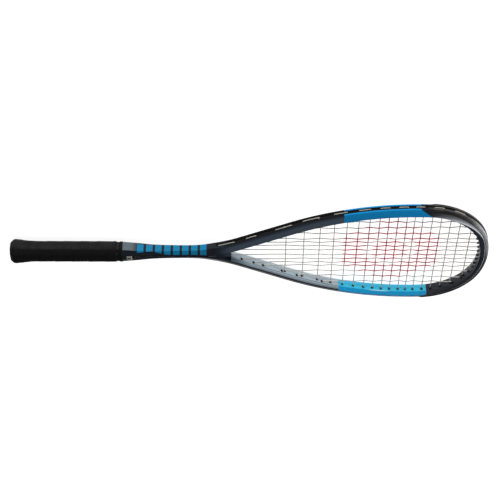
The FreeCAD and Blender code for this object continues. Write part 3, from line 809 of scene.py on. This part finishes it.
WEB_HALF = 8.6
WEB_NOSE = 5.0
WEB_SINK = 1.6      # how far the web's sides go into the tubes


def build_web(material):
    """Web that closes the notch of the V, dished along its front."""
    piece = Piece()
    rings = []
    for x in steps_between(WEB_BACK, WEB_FRONT + WEB_NOSE, 1.5):
        along = along_at(x, -TUBE_HALF)
        half = max(1.0, on_tube(along, -TUBE_HALF + WEB_SINK, 0).y)
        corners = mirrored_below(((-half, WEB_HALF, 0.5), (half, WEB_HALF, 0.5)))
        rings.append([Vector((x, p.x, p.y)) for p in rounded(corners)])
    piece.skin(rings)
    finish_piece(piece.build("throat_web", material), "frame_lacquer")


# -------- strings: holes and routes

TIP_OFFSETS = (4.9, 14.3, 23.6, 32.9, 44.3, 58.0, 72.0)
THROAT_OFFSETS = (6.4, 15.7, 24.1, 30.8, 44.3, 55.0, 70.0)
CROSS_PLACES = (395.3, 420.9, 443.3, 463.3, 480.9, 497.1, 512.4, 526.1, 538.9,
                551.3, 563.9, 574.9, 586.0, 599.3, 611.9, 625.6, 640.5, 654.9)
STRING_RADIUS = 0.7
STRING_RISE = 0.62
STRING_LIFT = 5.15
BARREL_PROUD = 1.5
TIP_BARREL_PROUD = 2.6
HOLE_SPACING = 4.7


class Hole:
    """Where one string goes through the +Y half of the tube."""

    def __init__(self, run, height, along):
        self.run = Vector(run)
        self.height = height
        self.move(along)

    def move(self, along):
        self.along = along
        _, outward = station(along)
        self.way = (outward + self.run).normalized()
        self.slant = 1 / self.way.dot(outward)
        inner = on_tube(along, -TUBE_HALF, 0)
        self.inner = Vector((inner.x, inner.y))
        proud = TIP_BARREL_PROUD if inner.x > GUARD_START else BARREL_PROUD
        self.mouth = self.inner - self.way * proud

    def at(self, outward, side=1):
        """Point on the hole's axis at an outward offset from the tube's centreline."""
        spot = self.inner + self.way * (outward + TUBE_HALF) * self.slant
        return Vector((spot.x, side * spot.y, self.height))

    def entry(self, side=1):
        return Vector((self.mouth.x, side * self.mouth.y, self.height))


def find_hole(run, height, low, high, miss):
    """Slide a hole along the hoop until its mouth lies on the string's line."""
    hole = Hole(run, height, low)
    low_side = miss(hole.mouth) > 0
    for _ in range(50):
        middle = (low + high) / 2
        hole.move(middle)
        if (miss(hole.mouth) > 0) == low_side:
            low = middle
        else:
            high = middle
    return hole


def push_apart(near, far):
    """Move two neighbouring holes until their barrels clear each other."""
    short = HOLE_SPACING - (far.along - near.along)
    if short > 0:
        near.move(near.along - short / 2)
        far.move(far.along + short / 2)


def widest_along():
    """Distance from the tip to the hoop's widest place."""
    turned, distance = math.pi / 2, 0.0
    for _, _, radius, length in SEGMENTS:
        if turned + length / radius >= math.pi:
            return distance + (math.pi - turned) * radius
        turned += length / radius
        distance += length


WIDEST = widest_along()
LEG_END = sum(segment[3] for segment in SEGMENTS[:len(TIP_ARCS) + 1])
TIP_HOLES = [find_hole((1, 0), STRING_RISE, 0, WIDEST, lambda mouth, y=y: mouth.y - y)
             for y in TIP_OFFSETS]
THROAT_HOLES = [find_hole((-1, 0), STRING_RISE, WIDEST, LEG_END + 40,
                          lambda mouth, y=y: mouth.y - y) for y in THROAT_OFFSETS]
CROSS_HOLES = [find_hole((0, 1), -STRING_RISE, 0, LEG_END, lambda mouth, x=x: mouth.x - x)
               for x in CROSS_PLACES]
ALL_HOLES = sorted(TIP_HOLES + THROAT_HOLES + CROSS_HOLES, key=lambda hole: hole.along)
for near_hole, far_hole in zip(ALL_HOLES, ALL_HOLES[1:]):
    push_apart(near_hole, far_hole)


def facing(point, guess):
    """Distance along the centreline of the station that faces a point."""
    for _ in range(20):
        centre, outward = station(guess)
        forward = Vector((-outward.y, outward.x))
        guess += (Vector((point.x, point.y)) - centre).dot(forward)
    return guess


def channel_run(first, second, side):
    """Points along the channel between two holes."""
    low = facing(first.at(STRING_LIFT), first.along)
    high = facing(second.at(STRING_LIFT), second.along)
    stops = steps_between(low, high, 4.0)[1:-1]
    share = [k / (len(stops) + 1) for k in range(1, len(stops) + 1)]
    return [on_tube(side * along, STRING_LIFT, blend(first.height, second.height, t))
            for along, t in zip(stops, share)]


def main_line(number, side):
    """Ends of one long string on the bed."""
    return TIP_HOLES[number].entry(side), THROAT_HOLES[number].entry(side)


def weave(number, side, cross):
    """1 where a long string passes above a cross string, -1 where it passes below."""
    column = number if side > 0 else -1 - number
    return 1 if (column + cross) % 2 == 0 else -1


def woven(start, end, crossings, spacing=2.2):
    """Points of a string on the bed; crossings are (share of the run, height) in order."""
    knots = [(0.0, start.z)] + crossings + [(1.0, end.z)]
    points = []
    for (near, low), (far, high) in zip(knots, knots[1:]):
        run = (far - near) * (end - start).length
        for share in steps_between(0.0, 1.0, spacing / run)[:-1]:
            spot = start.lerp(end, near + (far - near) * share)
            spot.z = blend(low, high, ease(share))
            points.append(spot)
    return points + [end.copy()]


def main_run(number, side):
    """One long string from the tip to the throat, over and under the cross strings."""
    tip, throat = main_line(number, side)
    crossings = []
    for cross, hole in enumerate(CROSS_HOLES):
        share = (tip.x - hole.mouth.x) / (tip.x - throat.x)
        across = abs(tip.lerp(throat, share).y)
        if 0.01 < share < 0.99 and across < hole.mouth.y - 1:
            crossings.append((share, STRING_RADIUS * weave(number, side, cross)))
    return woven(tip, throat, sorted(crossings))


def cross_run(cross, side):
    """One cross string from one side to the other, under and over the long strings."""
    start = CROSS_HOLES[cross].entry(side)
    end = CROSS_HOLES[cross].entry(-side)
    crossings = []
    for number in range(len(TIP_HOLES)):
        for half in (1, -1):
            tip, throat = main_line(number, half)
            share = (tip.x - start.x) / (tip.x - throat.x)
            y = tip.lerp(throat, share).y
            if 0.01 < share < 0.99 and abs(y) < CROSS_HOLES[cross].mouth.y - 1:
                crossings.append(((start.y - y) / (start.y - end.y),
                                  -STRING_RADIUS * weave(number, half, cross)))
    return woven(start, end, sorted(crossings))


def main_half(side):
    """Route of the long string's half on one side, from the middle of the tip."""
    middle = facing(TIP_HOLES[0].at(STRING_LIFT), TIP_HOLES[0].along) / 2
    route = [(on_tube(side * middle, STRING_LIFT, STRING_RISE), 0.0)]
    for number, (tip, throat) in enumerate(zip(TIP_HOLES, THROAT_HOLES)):
        run = [(point, 1.0) for point in main_run(number, side)]
        run = [(tip.at(STRING_LIFT, side), 0.0)] + run + [(throat.at(STRING_LIFT, side), 0.0)]
        route += run if number % 2 == 0 else run[::-1]
        if number + 1 < len(TIP_HOLES):
            holes = THROAT_HOLES if number % 2 == 0 else TIP_HOLES
            route += [(p, 0.0) for p in channel_run(holes[number], holes[number + 1], side)]
    return route


def cross_route():
    """Route of the cross string from the throat to the tip."""
    route = []
    side = 1
    for cross, hole in enumerate(CROSS_HOLES):
        route.append((hole.at(STRING_LIFT, side), 0.0))
        route += [(point, 1.0) for point in cross_run(cross, side)]
        route.append((hole.at(STRING_LIFT, -side), 0.0))
        side = -side
        if cross + 1 < len(CROSS_HOLES):
            route += [(p, 0.0) for p in channel_run(hole, CROSS_HOLES[cross + 1], side)]
    return route


def softened(route, reach=1.1):
    """The route with each sharp corner replaced by three points."""
    smooth = [route[0]]
    for (before, _), (point, bed), (after, _) in zip(route, route[1:], route[2:]):
        back, on = before - point, after - point
        if back.length < 1e-6 or on.length < 1e-6 or back.angle(on) > math.radians(150):
            smooth.append((point, bed))
            continue
        start = point + back * min(0.4, reach / back.length)
        end = point + on * min(0.4, reach / on.length)
        for t in (0.0, 0.33, 0.67, 1.0):
            spot = start * (1 - t) ** 2 + point * 2 * t * (1 - t) + end * t ** 2
            smooth.append((spot, bed))
    return smooth + [route[-1]]


def round_rod(piece, route, radius, sides=8):
    """Skin a round string along a route of (point, 1 on the bed) pairs."""
    rings, bed = [], []
    for index, (point, on_bed) in enumerate(route):
        before = route[max(0, index - 1)][0]
        after = route[min(len(route) - 1, index + 1)][0]
        along = (after - before).normalized()
        across = along.cross(UP).normalized()
        rings.append(circle(point, across, across.cross(along), radius, sides))
        bed += [on_bed] * sides
    piece.skin(rings)
    piece.mark("bed", bed)


def build_strings(material):
    """The long string and the cross string, each in one length."""
    mains = Piece()
    route = main_half(-1)[::-1] + main_half(1)
    round_rod(mains, softened(route), STRING_RADIUS)
    crosses = Piece()
    round_rod(crosses, softened(cross_route()), STRING_RADIUS)
    finish_piece(mains.build("main_string_bed", material, 60), "string", "main_string")
    finish_piece(crosses.build("cross_string_bed", material, 60), "string", "cross_string")


# -------- grommets and bumper guard

STRIP_FLOOR = 4.35
STRIP_HALF = 2.65
STRIP_RIM_HALF = 1.95
STRIP_RIM = 5.8
BARREL_RADIUS = 1.8
BORE_RADIUS = 0.85

STRIP_OUTLINE = rounded(mirrored_below(((3.05, STRIP_HALF, 0.2), (STRIP_RIM, STRIP_HALF, 0.25),
                                        (STRIP_RIM, STRIP_RIM_HALF, 0.25),
                                        (STRIP_FLOOR, STRIP_RIM_HALF, 0.3))), 2)


def barrel(piece, hole, side, sides=16):
    """Tube of a grommet round one hole, with a rounded and pierced inner end."""
    start = hole.entry(side)
    end = hole.at(CHANNEL_FLOOR + 0.3, side)
    way = (end - start).normalized()
    across = way.cross(UP).normalized()
    length = (end - start).length
    profile = ((length, BARREL_RADIUS), (0.45, BARREL_RADIUS), (0.12, BARREL_RADIUS - 0.15),
               (0.0, BARREL_RADIUS - 0.45), (0.05, BORE_RADIUS + 0.2), (0.4, BORE_RADIUS),
               (length, BORE_RADIUS))
    piece.skin([circle(start + way * distance, across, UP, radius, sides)
                for distance, radius in profile], closed=True)


def holes_between(low, high):
    """The holes whose outer ends lie between two X places."""
    return [hole for hole in ALL_HOLES if low <= hole.at(CHANNEL_FLOOR).x < high]


def build_strips(material):
    """The four grommet strips, each with a barrel for every hole it covers."""
    for place, low, high in (("throat", THROAT_STRIP_START, THROAT_STRIP_END),
                             ("side", SIDE_STRIP_START, SIDE_STRIP_END)):
        for name, side in (("left", 1), ("right", -1)):
            piece = Piece()
            swept(piece, along_at(high, 4.0), along_at(low, 4.0), STRIP_OUTLINE, side=side)
            for hole in holes_between(low, high):
                barrel(piece, hole, side)
            node = "%s_grommets_%s" % (place, name)
            finish_piece(piece.build(node + "_strip", material), "grommet_plastic", node)


# Upper half of the guard's section, from its base outward: (across, up, cut).
GUARD_CORNERS = ((3.05, 2.65, 0.1), (6.06, 2.65, 0.1), (6.06, 5.3, 0.1), (3.3, 6.72, 0.2),
                 (3.5, 7.55, 0.3), (4.5, 7.1, 0.2), (4.75, 6.65, 0.15), (5.1, 6.75, 0.2),
                 (6.0, 6.25, 0.2), (6.2, 5.8, 0.15), (6.5, 5.95, 0.2), (7.1, 5.3, 0.25),
                 (7.15, 4.85, 0.15), (7.4, 4.6, 0.2), (7.4, 3.5, 0.2), (7.15, 3.3, 0.1),
                 (7.4, 3.1, 0.2), (7.4, 1.95, 0.25), (4.35, 1.95, 0.3))
GUARD_POINT = 12.0
GUARD_ALONG = along_at(GUARD_START, TUBE_HALF)


def guard_outline(along):
    """The guard's section, narrowing to the channel's width at its two pointed ends."""
    reach = math.sqrt(ease((GUARD_ALONG - abs(along)) / GUARD_POINT) * 0.97 + 0.03)
    corners = []
    for across, up, cut in GUARD_CORNERS:
        if up > STRIP_HALF:
            up = STRIP_HALF + 0.05 + (up - STRIP_HALF) * reach
        if across > TUBE_HALF:
            across = TUBE_HALF + 0.05 + (across - TUBE_HALF) * (0.3 + 0.7 * reach)
        corners.append((across, up, cut * reach))
    return rounded(mirrored_below(corners), 2)


def build_guard(material):
    """Bumper guard round the tip, with a barrel for every hole it covers."""
    piece = Piece()
    swept(piece, -GUARD_ALONG, GUARD_ALONG, guard_outline, 2.5)
    for hole in holes_between(GUARD_START, math.inf):
        for side in (1, -1):
            barrel(piece, hole, side)
    finish_piece(piece.build("bumper_guard_shell", material, 50), "bumper_plastic", "bumper_guard")


# -------- handle

# Softened octagon of the bare handle.
PALLET_SIDE = 13.4
PALLET_OUTLINE = rounded(mirrored_below(((PALLET_SIDE, 5.6, 2.6), (6.8, 11.5, 2.6),
                                         (-6.8, 11.5, 2.6), (-PALLET_SIDE, 5.6, 2.6))), 4)
GRIP_PROFILE = ((3.0, 1.27), (7.0, 1.34), (14.0, 1.30), (20.0, 1.225), (30.0, 1.155),
                (38.0, 1.138), (GRIP_END, 1.138))
CAP_PROFILE = ((0.0, 0.98), (0.6, 1.04), (1.6, 1.12), (3.0, 1.19), (4.5, 1.22), (9.0, 1.22))
WRAP_PITCH = 24.0
WRAP_STEP = 0.4
WRAP_SEAM = 0.035   # share of a turn in which the strip's edge rises
WRAP_TUCK = 0.6     # how far the wrap's two ends are tucked in


def dense(outline, spacing):
    """The closed outline with points added on its long flats."""
    points = []
    for first, second in zip(outline, outline[1:] + outline[:1]):
        for share in steps_between(0.0, 1.0, spacing / max((second - first).length, 1e-6))[:-1]:
            points.append(first.lerp(second, share))
    return points


WRAP_OUTLINE = dense(PALLET_OUTLINE, 1.4)


def octagon_ring(x, scale):
    """The handle's octagon square to the handle, scaled."""
    return [Vector((x, point.x * scale, point.y * scale)) for point in PALLET_OUTLINE]


def profile_scale(profile, x):
    """Scale on a smooth line through the profile's knots."""
    for (low, first), (high, second) in zip(profile, profile[1:]):
        if x <= high:
            return blend(first, second, ease((x - low) / (high - low)) * 0.5
                         + 0.5 * (x - low) / (high - low))
    return profile[-1][1]


def wrap_height(x, turn):
    """Height of the spiral wrap: each turn's edge lies over the turn before it."""
    phase = (x / WRAP_PITCH + turn / math.tau) % 1.0
    edge = ease(phase / WRAP_SEAM)
    return WRAP_STEP * (edge * (1.0 - 0.75 * phase) - 0.6)


def build_grip(material):
    """Spiral wrap with a raised seam at each turn."""
    piece = Piece()
    rings = []
    low = GRIP_PROFILE[0][0]
    for x in steps_between(low, GRIP_END, 0.7):
        scale = profile_scale(GRIP_PROFILE, x)
        ring = []
        for point in WRAP_OUTLINE:
            turn = math.atan2(point.y, point.x)
            ends = ease((x - low) / 1.5) * ease((GRIP_END - x) / 1.0)
            spot = point * scale
            spot += spot.normalized() * (wrap_height(x, turn) * ends - WRAP_TUCK * (1 - ends))
            ring.append(Vector((x, spot.x, spot.y)))
        rings.append(ring)
    piece.skin(rings)
    finish_piece(piece.build("grip_wrap_spiral", material, 40), "grip", "grip_wrap")


def build_cap(material):
    """Butt cap with a softened end face and a recess for the badge."""
    piece = Piece()
    rings = [octagon_ring(1.4, 0.0), octagon_ring(1.4, 0.62), octagon_ring(1.2, 0.66),
             octagon_ring(0.2, 0.68), octagon_ring(0.0, 0.72)]
    rings += [octagon_ring(x, scale) for x, scale in CAP_PROFILE]
    piece.skin(rings, capped=False)
    finish_piece(piece.build("butt_cap_shell", material, 40), "cap_plastic", "butt_cap")


def build_badge(material):
    """Round badge with plain nested rings."""
    piece = Piece()
    profile = ((1.0, 0.02), (0.7, 1.6), (0.55, 2.4), (0.95, 2.7), (0.95, 4.8), (0.5, 5.2),
               (0.4, 6.8), (0.15, 7.2), (0.2, 7.7), (0.6, 8.0), (1.3, 8.0))
    piece.skin([circle(Vector((x, 0, 0)), Vector((0, 1, 0)), UP, radius, 48)
                for x, radius in profile], capped=False)
    finish_piece(piece.build("butt_badge_disc", material, 30), "badge", "butt_badge")


def build_band(name, node, slot, box, thick, material, ribs=0):
    """A ring round the bare handle: finishing tape or rubber collar."""
    piece = Piece()
    low, high = box[0].x, box[1].x
    rings = [octagon_ring(low, 1.0)]
    for x in steps_between(low, high, 0.25):
        edge = ease((x - low) / 0.6) * ease((high - x) / 0.6)
        wave = 0.12 * math.cos(math.tau * ribs * (x - low) / (high - low)) if ribs else 0.0
        rings.append(octagon_ring(x, 1 + (thick * (0.55 + 0.45 * edge) - wave) / PALLET_SIDE))
    rings.append(octagon_ring(high, 1.0))
    piece.skin(rings)
    finish_piece(piece.build(name, material, 45), slot, node)


def build_label(material):
    """Thin foil label with rounded corners, lying on the shaft's top flat."""
    piece = Piece()
    low, high = node_box("spec_label")
    half_length, half_width = (high.x - low.x) / 2, (high.y - low.y) / 2
    middle = (low + high) / 2
    corners = mirrored_below(((half_length, half_width, 1.2), (-half_length, half_width, 1.2)))
    outline = rounded(corners, 4)
    rings = []
    for lift, shrink in ((-0.3, 1.0), (0.12, 1.0), (0.2, 0.97)):
        ring = []
        for point in outline:
            top = shaft_sizes(middle.x + point.x)[3]
            spot = middle.xy + point * shrink
            ring.append(Vector((spot.x, spot.y, top + lift)))
        rings.append(ring)
    piece.skin(rings)
    finish_piece(piece.build("spec_label_foil", material, 40), "label", "spec_label")


def paint_nodes(material, *nodes):
    """Give CAD nodes that stay as they are a material."""
    for node in nodes:
        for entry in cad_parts[node].material_slots:
            entry.material = material


# -------- build

lacquer_finish = lacquer()
build_frame(lacquer_finish)
build_web(lacquer_finish)
build_strips(grommet_nylon())
build_guard(guard_nylon())
build_strings(string_gut())
build_grip(grip_leather())
build_cap(rubber("cap_rubber", srgb(12, 12, 12)))
build_badge(metal("badge_metal", srgb(150, 152, 156), 0.3))
build_band("finishing_tape_band", "finishing_tape", "tape", TAPE_BOX, 1.0, tape())
build_band("grip_collar_band", "grip_collar", "collar_rubber", COLLAR_BOX, 1.6,
           rubber("collar_rubber", srgb(14, 14, 15)), 2)
build_label(foil_label())
paint_nodes(foam(), "handle_pallet_upper", "handle_pallet_lower")
paint_nodes(metal("staple_steel", srgb(196, 196, 194), 0.3), "butt_cap_staples", "grip_staple")

# -------- floor, lights and camera

CAMERA_TILT = math.radians(53.0)
CAMERA_DISTANCE = 2.110
FOCAL_LENGTH = 105.5
SENSOR = 36.0
AIM = Vector((0.3440, 0.0, 0.0))
CAMERA_ROLL = math.radians(0.16)
CAMERA_LIFT = 0.0026
FLOOR_REACH = 8.0
FLOOR_GAP = 0.0002


def build_floor():
    """Wide pale floor just under the lowest point of the racket."""
    level = cad_bounds[0].z - FLOOR_GAP
    mesh = bpy.data.meshes.new("floor")
    corners = [(x * FLOOR_REACH, y * FLOOR_REACH, level)
               for x, y in ((-1, -1), (1, -1), (1, 1), (-1, 1))]
    mesh.from_pydata(corners, [], [(0, 1, 2, 3)])
    mesh.materials.append(floor_paint())
    floor = bpy.data.objects.new("floor", mesh)
    bpy.context.scene.collection.objects.link(floor)


def soft_light(name, place, power, width, height):
    """Area light that faces the middle of the racket."""
    data = bpy.data.lights.new(name, "AREA")
    data.shape = "RECTANGLE"
    data.size, data.size_y = width, height
    data.energy = power
    lamp = bpy.data.objects.new(name, data)
    lamp.location = AIM + Vector(place)
    lamp.rotation_euler = (-Vector(place)).to_track_quat("-Z", "Y").to_euler()
    bpy.context.scene.collection.objects.link(lamp)


def build_camera():
    """Camera on the +Y side, rolled so that +Y is up in the picture."""
    toward = Vector((0, math.sin(CAMERA_TILT), math.cos(CAMERA_TILT)))
    up = Vector((0, math.cos(CAMERA_TILT), -math.sin(CAMERA_TILT)))
    right = up.cross(toward)
    up, right = (up * math.cos(CAMERA_ROLL) - right * math.sin(CAMERA_ROLL),
                 right * math.cos(CAMERA_ROLL) + up * math.sin(CAMERA_ROLL))
    data = bpy.data.cameras.new("camera")
    data.lens = FOCAL_LENGTH
    data.sensor_width = SENSOR
    data.clip_end = 50
    camera = bpy.data.objects.new("camera", data)
    camera.matrix_world = Matrix((right, up, toward)).transposed().to_4x4()
    camera.location = AIM + up * CAMERA_LIFT + toward * CAMERA_DISTANCE
    bpy.context.scene.collection.objects.link(camera)
    bpy.context.scene.camera = camera


def build_world():
    """Weak even light from all round."""
    world = bpy.data.worlds.new("studio")
    world.use_nodes = True
    background = world.node_tree.nodes["Background"]
    background.inputs["Color"].default_value = (1.0, 1.0, 1.0, 1.0)
    background.inputs["Strength"].default_value = 0.14
    bpy.context.scene.world = world
    bpy.context.scene.view_settings.view_transform = "Standard"


build_floor()
soft_light("key", (0.1, 2.4, 0.30), power=26, width=2.6, height=0.5)
soft_light("tip_light", (2.0, -0.35, 0.35), power=28, width=1.0, height=0.8)
soft_light("top_light", (-0.2, 0.3, 2.4), power=3, width=1.6, height=1.6)
build_world()
build_camera()
